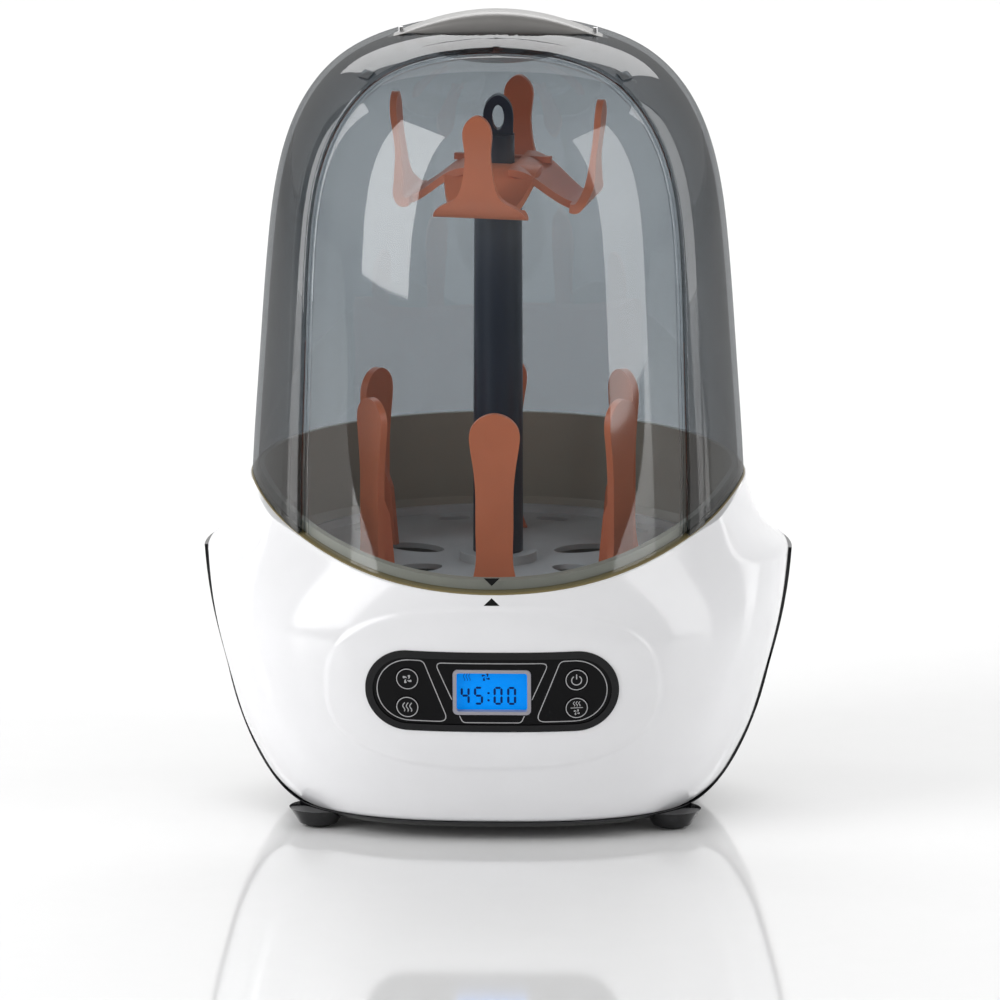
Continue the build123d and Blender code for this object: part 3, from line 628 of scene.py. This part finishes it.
class WindowColumns:
    """Columns of the window: tucked edge, step, face, mirrored."""
    tucked, stepped, faced = 4, 5, 36
    count = 2 * (tucked + stepped + faced) - 1
    end = 0.0

    @classmethod
    def place(cls, r, z):
        """Angles of the columns at radii and heights on the dome."""
        tuck = ridge_angle(ridge_front, r, z, TUCK)
        face = ridge_angle(ridge_front, r, z, -WINDOW_GAP)

        def angle_of(i, col):
            t = tuck[:, col]
            f = face[:, col]
            room = f + math.pi / 2
            step = np.minimum(1.2 / np.maximum(r[:, col], NEAR_AXIS), room)
            if i < cls.tucked:
                return t + (i / cls.tucked) * (f - t)
            if i < cls.tucked + cls.stepped:
                return f - step * (i - cls.tucked) / cls.stepped
            return f - step - (room - step) * (i - cls.tucked - cls.stepped) / (cls.faced - 1)

        return both_sides(cls.count, len(r), angle_of, -math.pi)


lengths = np.linspace(0, PROFILE_LENGTH[-1], 4000)
rad, hgt = dome_at(lengths)
tuck_y = np.interp(hgt, ridge_front[:, 1], ridge_front[:, 0]) + TUCK
WindowColumns.end = lengths[np.argmax(rad < -tuck_y)]
rows = np.r_[0.0, 0.0015, np.linspace(0.006, 0.8, 70), np.linspace(0.804, 1.0, 60)]
theta, length = settle(rows, WindowColumns, 1.0)
r, z = dome_at(length)
mirrored = np.where(theta < -math.pi / 2, -math.pi - theta, theta)
inside = np.interp(z, ridge_front[:, 1], ridge_front[:, 0]) - WINDOW_GAP - r * np.sin(mirrored)
depth = WINDOW_DEPTH + WINDOW_STEP * (1 - smooth(inside, 0.0, 0.9))
r, z = dome_at(length, -depth)
points = xyz(r, theta, z)[:, ::-1].reshape(-1, 3)
piece("window_clear_panel", points, strip(len(rows), WindowColumns.count), MATS["window_clear"], "cover",
      ("window_panel",), wall=1.7, merge=True)


# ---------------------------------------------------------------- handle
def dome_z(radius):
    """Height of the dome's surface at a radius near the crown."""
    return np.interp(radius, profile[::-1, 0], profile[::-1, 1])


HANDLE_TOP, HANDLE_ARCH, HANDLE_UNDER, HANDLE_HALF = 395.4, 13.9, 383.4, 53.8
stations = np.sin(np.linspace(-math.pi / 2, math.pi / 2, 81)) * HANDLE_HALF
around = np.linspace(0, 2 * math.pi, 41)[:-1]
half_w = 11.4 * np.sqrt(1 - (stations / 62.0) ** 2) * np.sqrt(1 - np.abs(stations / 53.9) ** 7)
top = HANDLE_TOP - HANDLE_ARCH * (stations / 54.0) ** 2
landing = dome_z(np.abs(stations)) - 0.2
grip = HANDLE_UNDER + (landing - HANDLE_UNDER) * smooth(np.abs(stations), 37.0, 45.0)
half_h = np.maximum((top - grip) / 2, 0.02)
c = np.cos(around)
s = np.sin(around)
points = []
for x, half_y, middle, half_z in zip(stations, half_w, (top + grip) / 2, half_h):
    y = half_y * np.sign(c) * np.abs(c) ** 0.62
    z = middle + half_z * np.sign(s) * np.abs(s) ** 0.72
    points.append(np.stack([np.full(len(around), x), y, z], -1))
faces = [tuple(f[::-1]) for f in strip(len(stations), len(around), closed=True)]
faces.append(tuple(range(len(around))))
faces.append(tuple(range((len(stations) - 1) * len(around), len(stations) * len(around)))[::-1])
piece("carry_handle", np.concatenate(points), faces, MATS["handle_grey"], "cover",
      ("dome_handle",))


# ---------------------------------------------------------------- printed marks
def on_plane(places):
    """Places on the panel's plane as points."""
    return PANEL_CENTRE + places[:, :1] * np.array((1.0, 0, 0)) + places[:, 1:2] * PANEL_UP


def on_panel(places, grow):
    """Points of the bowl's surface, grown outwards, in front of places on the panel's plane."""
    base = on_plane(places)
    near = np.full(len(places), -12.0)
    far = np.full(len(places), 12.0)
    for _ in range(30):
        mid = (near + far) / 2
        p = base + mid[:, None] * PANEL_OUT
        a, b, n = section(p[:, 2]).T
        outside = np.abs(p[:, 0] / (a + grow)) ** n + np.abs(p[:, 1] / (b + grow)) ** n > 1
        far = np.where(outside, mid, far)
        near = np.where(outside, near, mid)
    return base + near[:, None] * PANEL_OUT


def on_display(places, height):
    """Points at a height over the panel's plane, for the display's flat front."""
    return on_plane(places) + height * PANEL_OUT


class Marks:
    """Thin printed marks gathered into one piece."""

    def __init__(self, surface, low, high):
        self.surface, self.low, self.high = surface, low, high
        self.points, self.faces, self.count = [], [], 0

    def line(self, path, width, closed=False):
        """Stroke of even width along a path."""
        path = np.asarray(path, float)
        if closed:
            ahead = np.roll(path, -1, axis=0) - np.roll(path, 1, axis=0)
        else:
            ahead = np.gradient(path, axis=0)
        ahead /= np.linalg.norm(ahead, axis=1)[:, None]
        side = np.c_[-ahead[:, 1], ahead[:, 0]] * width / 2
        left, right = path + side, path - side
        self.points += [self.surface(left, self.low), self.surface(left, self.high),
                        self.surface(right, self.high), self.surface(right, self.low)]
        n = len(path)
        last = n if closed else n - 1
        base = self.count
        for i in range(last):
            k = (i + 1) % n
            for a in range(4):
                b = (a + 1) % 4
                self.faces.append((base + a * n + i, base + b * n + i, base + b * n + k, base + a * n + k))
        if not closed:
            self.faces.append(tuple(base + a * n for a in range(4))[::-1])
            self.faces.append(tuple(base + a * n + n - 1 for a in range(4)))
        self.count += 4 * n

    def patch(self, outline):
        """Filled shape with an edge."""
        outline = np.asarray(outline, float)
        n = len(outline)
        self.points += [self.surface(outline, self.low), self.surface(outline, self.high)]
        base = self.count
        self.faces.append(tuple(base + n + i for i in range(n)))
        self.faces.append(tuple(base + i for i in range(n))[::-1])
        for i in range(n):
            k = (i + 1) % n
            self.faces.append((base + i, base + k, base + n + k, base + n + i))
        self.count += 2 * n

    def make(self, name, mat, body):
        """The finished piece."""
        obj = piece(name, np.concatenate(self.points), self.faces, mat, body)
        edit(obj.data, lambda work: bmesh.ops.recalc_face_normals(work, faces=work.faces))
        obj.data.shade_flat()


def arc(x, y, radius, start, end, count=24):
    """Points of an arc, angles in degrees."""
    a = np.radians(np.linspace(start, end, count))
    return np.c_[x + radius * np.cos(a), y + radius * np.sin(a)]


def rounded(corners, radius, step=0.6):
    """Closed outline with rounded corners, evenly dense."""
    corners = np.asarray(corners, float)
    n = len(corners)
    out = []
    for i in range(n):
        here, before, after = corners[i], corners[i - 1], corners[(i + 1) % n]
        u = (before - here) / np.linalg.norm(before - here)
        w = (after - here) / np.linalg.norm(after - here)
        half = math.acos(float(np.clip(u @ w, -1, 1))) / 2
        cut = radius / math.tan(half)
        start, end = here + u * cut, here + w * cut
        for t in np.linspace(0, 1, 9):
            out.append((1 - t) ** 2 * start + 2 * t * (1 - t) * here + t * t * end)
    return dense(np.array(out), step, closed=True)


def dense(path, step=0.6, closed=False):
    """Path with points no further apart than a step."""
    path = np.asarray(path, float)
    if closed:
        path = np.r_[path, path[:1]]
    out = [path[:1]]
    for a, b in zip(path, path[1:]):
        n = max(1, int(np.linalg.norm(b - a) / step))
        out.append(a + (b - a) * (np.arange(1, n + 1) / n)[:, None])
    out = np.concatenate(out)
    return out[:-1] if closed else out


OVERLAY = (0.585, 0.66)
KEY_FACE = (0.985, 1.06)
KEY_X = 41.2
KEY_ROWS = (6.2, -8.6)
KEY_RING = 5.15
OUTLINE, FINE = 0.42, 0.36
frames = Marks(on_panel, *OVERLAY)
# The middle outline runs behind the display and is left out there.
centre_frame = rounded([(27.7, 15.1), (-27.7, 15.1), (-14.2, -16.1), (14.2, -16.1)], 2.4)
hidden = (np.abs(centre_frame[:, 0]) < 19.3) & (np.abs(centre_frame[:, 1]) < 12.1)
breaks = np.flatnonzero(np.diff(np.r_[hidden, hidden[:1]].astype(int)))
run = []
for i in [*np.roll(np.arange(len(centre_frame)), -(breaks[0] + 1)), None]:
    if i is not None and not hidden[i]:
        run.append(i)
        continue
    if len(run) > 1:
        frames.line(centre_frame[run], OUTLINE)
    run = []
# Each side outline is a half round joined to the cut end of a rounded quadrilateral.
LOBE_X, LOBE_Y, LOBE_R = 40.1, 0.15, 15.85
straight = rounded([(60.0, -15.7), (60.0, 16.0), (33.4, 16.0), (21.1, -15.7)], 3.4, 0.4)
straight = straight[straight[:, 0] < LOBE_X]
first = np.argmax(np.linalg.norm(np.diff(np.r_[straight, straight[:1]], axis=0), axis=1)) + 1
straight = np.roll(straight, -first, axis=0)
if straight[0, 1] < 0:
    straight = straight[::-1]
lobe = dense(np.r_[arc(LOBE_X, LOBE_Y, LOBE_R, -90, 90, 40), straight], closed=True)
for side in (-1, 1):
    frames.line(lobe * (side, 1), OUTLINE, closed=True)
frames.make("panel_print_frames", MATS["print_grey"], "base")


def waves(marks, x, low, high, gap, swing, width):
    """Three rising wavy strokes."""
    t = np.linspace(0, 1, 22)
    for k in (-1, 0, 1):
        u = x + k * gap + swing * np.sin(2 * math.pi * 1.1 * t + 0.4)
        marks.line(np.c_[u, low + t * (high - low)], width)


def blades(marks, x, y, radius):
    """Four swept fan blades."""
    t = np.linspace(0, 1, 9)
    for k in range(4):
        lead = math.pi / 2 * k + 1.0 * t
        trail = lead + 0.8 * np.sin(math.pi * t ** 1.25)
        r = radius * (0.14 + 0.86 * t)
        front = np.c_[x + r * np.cos(lead), y + r * np.sin(lead)]
        rear = np.c_[x + r * np.cos(trail), y + r * np.sin(trail)][::-1]
        marks.patch(np.r_[front, rear[1:-1]])


def key_icon(name, column, row):
    """Ring and symbol on one key."""
    x = KEY_X * column
    y = KEY_ROWS[row]
    marks = Marks(on_panel, *KEY_FACE)
    marks.line(arc(x, y, KEY_RING, 0, 360, 61)[:-1], OUTLINE, closed=True)
    if name == "fan":
        blades(marks, x, y, 2.5)
    elif name == "steam":
        waves(marks, x, y - 2.4, y + 2.4, 1.7, 0.5, OUTLINE)
    elif name == "power":
        marks.line(arc(x, y - 0.2, 2.4, 125, 415, 40), 0.5)
        marks.line(dense([(x, y + 0.3), (x, y + 2.9)]), 0.5)
    else:
        waves(marks, x, y + 0.9, y + 3.5, 1.3, 0.35, FINE)
        marks.line(dense([(x - 3.0, y + 0.1), (x + 3.0, y + 0.1)]), FINE)
        blades(marks, x, y - 2.2, 1.7)
    marks.make("mark_" + name, MATS["print_grey"], name + "_key")


for name, column, row in (("fan", -1, 0), ("steam", -1, 1), ("power", 1, 0), ("auto", 1, 1)):
    key_icon(name, column, row)

# Segments of the display: a to g, each a bar with pointed ends.
SEGMENTS = {
    "a": ((0, 1), (1, 1)), "b": ((1, 1), (1, 0.5)), "c": ((1, 0.5), (1, 0)), "d": ((0, 0), (1, 0)),
    "e": ((0, 0), (0, 0.5)), "f": ((0, 0.5), (0, 1)), "g": ((0, 0.5), (1, 0.5)),
}
DIGITS = {"4": "bcfg", "5": "acdfg", "0": "abcdef"}
DISPLAY_FACE = -1.72
DIGIT_WIDTH, DIGIT_HEIGHT, DIGIT_FOOT = 3.3, 8.4, -7.0
BAR_HALF, BAR_GAP = 0.55, 0.2
digits = Marks(on_display, DISPLAY_FACE, -1.63)
for text, left in (("4", -14.7), ("5", -8.2), ("0", 1.3), ("0", 7.9)):
    for key in DIGITS[text]:
        a, b = [np.array((left + DIGIT_WIDTH * u, DIGIT_FOOT + DIGIT_HEIGHT * v)) for u, v in SEGMENTS[key]]
        along = (b - a) / np.linalg.norm(b - a)
        across = np.array((-along[1], along[0])) * BAR_HALF
        a, b = a + along * BAR_GAP, b - along * BAR_GAP
        near, far = a + along * BAR_HALF, b - along * BAR_HALF
        digits.patch([a, near - across, far - across, b, far + across, near + across])
for v in (-1.4, -5.2):
    digits.patch(arc(-1.7, v, 0.6, 0, 340, 14))
blades(digits, -3.0, 7.0, 2.3)
digits.make("display_digits", MATS["display_ink"], "base")
faint = Marks(on_display, DISPLAY_FACE, -1.66)
waves(faint, -12.2, 4.9, 9.0, 1.3, 0.35, 0.4)
faint.make("display_idle_symbol", MATS["display_idle"], "base")


# Two arrows that point at each other where the cover is put on the right way round.
def on_window(places, out):
    """Points on the window's front, from places across it and up it."""
    theta = places[:, 0] / RIM_R - math.pi / 2
    r, z = dome_at(length_at(places[:, 1]), out - WINDOW_DEPTH)
    return xyz(r, theta, z)


def on_front(places, out):
    """Points on the front of the white housing, from places across it and up it."""
    theta = places[:, 0] / SEAM_R - math.pi / 2
    return xyz(white_r(theta, places[:, 1]) + out, theta, places[:, 1])


def arrow(name, surface, body, base, tip):
    """Printed triangle between two heights on a surface."""
    marks = Marks(surface, -0.05, 0.06)
    side = 3.9 if tip > base else -3.9
    marks.patch(dense([(-side, base), (side, base), (0, tip)], 0.8, closed=True))
    marks.make(name, MATS["print_black"], body)


arrow("arrow_on_cover", on_window, "cover", 138.2, 134.4)
arrow("arrow_on_base", on_front, "base", 124.8, 128.6)


# ---------------------------------------------------------------- studio
def area_light(name, place, target, size, energy):
    """Rectangular lamp aimed at a point."""
    data = bpy.data.lights.new(name, "AREA")
    data.shape = "RECTANGLE"
    data.size, data.size_y = size
    data.energy = energy
    lamp = bpy.data.objects.new(name, data)
    lamp.location = place
    lamp.rotation_euler = (Vector(target) - Vector(place)).to_track_quat("-Z", "Y").to_euler()
    bpy.context.scene.collection.objects.link(lamp)


MIDDLE = (0, 0, 0.25)
area_light("softbox_left", (-1.75, -1.15, 1.15), MIDDLE, (1.2, 2.2), 36)
area_light("strip_left", (-1.9, 0.62, 0.8), MIDDLE, (0.35, 1.8), 7)
area_light("softbox_right", (1.8, -0.75, 0.9), MIDDLE, (0.9, 1.9), 15)
area_light("strip_right", (1.9, 0.75, 0.8), MIDDLE, (0.4, 1.8), 6)
area_light("top_rear", (0, 2.0, 1.6), (0, 0.1, 0.3), (2.6, 0.9), 30)

# Sky: dim below the horizon, bright above it, dim again overhead.
world = bpy.data.worlds.new("studio")
world.use_nodes = True
sky = world.node_tree
direction = node(sky, "ShaderNodeTexCoord")
height = node(sky, "ShaderNodeSeparateXYZ")
sky.links.new(direction.outputs["Generated"], height.inputs["Vector"])
horizon = node(sky, "ShaderNodeMapRange", From_Min=-0.06, From_Max=0.10, To_Min=0.16, To_Max=0.45)
zenith = node(sky, "ShaderNodeMapRange", From_Min=0.55, From_Max=0.95, To_Min=1.0, To_Max=0.2)
for level in (horizon, zenith):
    sky.links.new(height.outputs["Z"], level.inputs["Value"])
shade = maths(sky, "MULTIPLY", horizon.outputs["Result"], zenith.outputs["Result"])
sky.links.new(shade, sky.nodes["Background"].inputs["Strength"])
sky.nodes["Background"].inputs["Color"].default_value = (1, 1, 1, 1)
bpy.context.scene.world = world

# The floor starts just in front of the base, so that the white front mirrors the dim sky below it.
FLOOR_SIZE, FLOOR_FRONT = 14, -0.54
bpy.ops.mesh.primitive_plane_add(size=FLOOR_SIZE, location=(0, FLOOR_FRONT + FLOOR_SIZE / 2, -0.0002))
floor = bpy.context.object
floor.name = "studio_floor"
floor_mat = solid("studio_floor", (0.93, 0.93, 0.93), 0.07, vary=0.003, bump=0.0, specular=0.9)
floor.data.materials.append(floor_mat)
bpy.ops.mesh.primitive_plane_add(size=1, location=(0, 40.0, 19.7), rotation=(math.pi / 2, 0, 0))
backdrop = bpy.context.object
backdrop.name = "studio_backdrop"
backdrop.scale = (131, 78, 1)
glow, glow_tree, glow_out = new_material("studio_backdrop")
lamp_face = node(glow_tree, "ShaderNodeEmission", Strength=1.05)
glow_tree.links.new(lamp_face.outputs["Emission"], glow_out.inputs["Surface"])
backdrop.data.materials.append(glow)

AZIMUTH = math.radians(1.5)
ELEVATION = math.radians(12.5)
DISTANCE = 12.0
SENSOR, VIEW_WIDTH = 36, 0.49
aim = Vector((0.0009, 0, 0.1506))
camera_data = bpy.data.cameras.new("camera")
camera_data.sensor_width = SENSOR
camera_data.lens = SENSOR * DISTANCE / VIEW_WIDTH
camera = bpy.data.objects.new("camera", camera_data)
back = Vector((
    math.sin(AZIMUTH) * math.cos(ELEVATION), -math.cos(AZIMUTH) * math.cos(ELEVATION), math.sin(ELEVATION)
))
camera.location = aim + back * DISTANCE
camera.rotation_euler = (-back).to_track_quat("-Z", "Y").to_euler()
bpy.context.scene.collection.objects.link(camera)
bpy.context.scene.camera = camera
bpy.context.scene.view_settings.view_transform = "Standard"
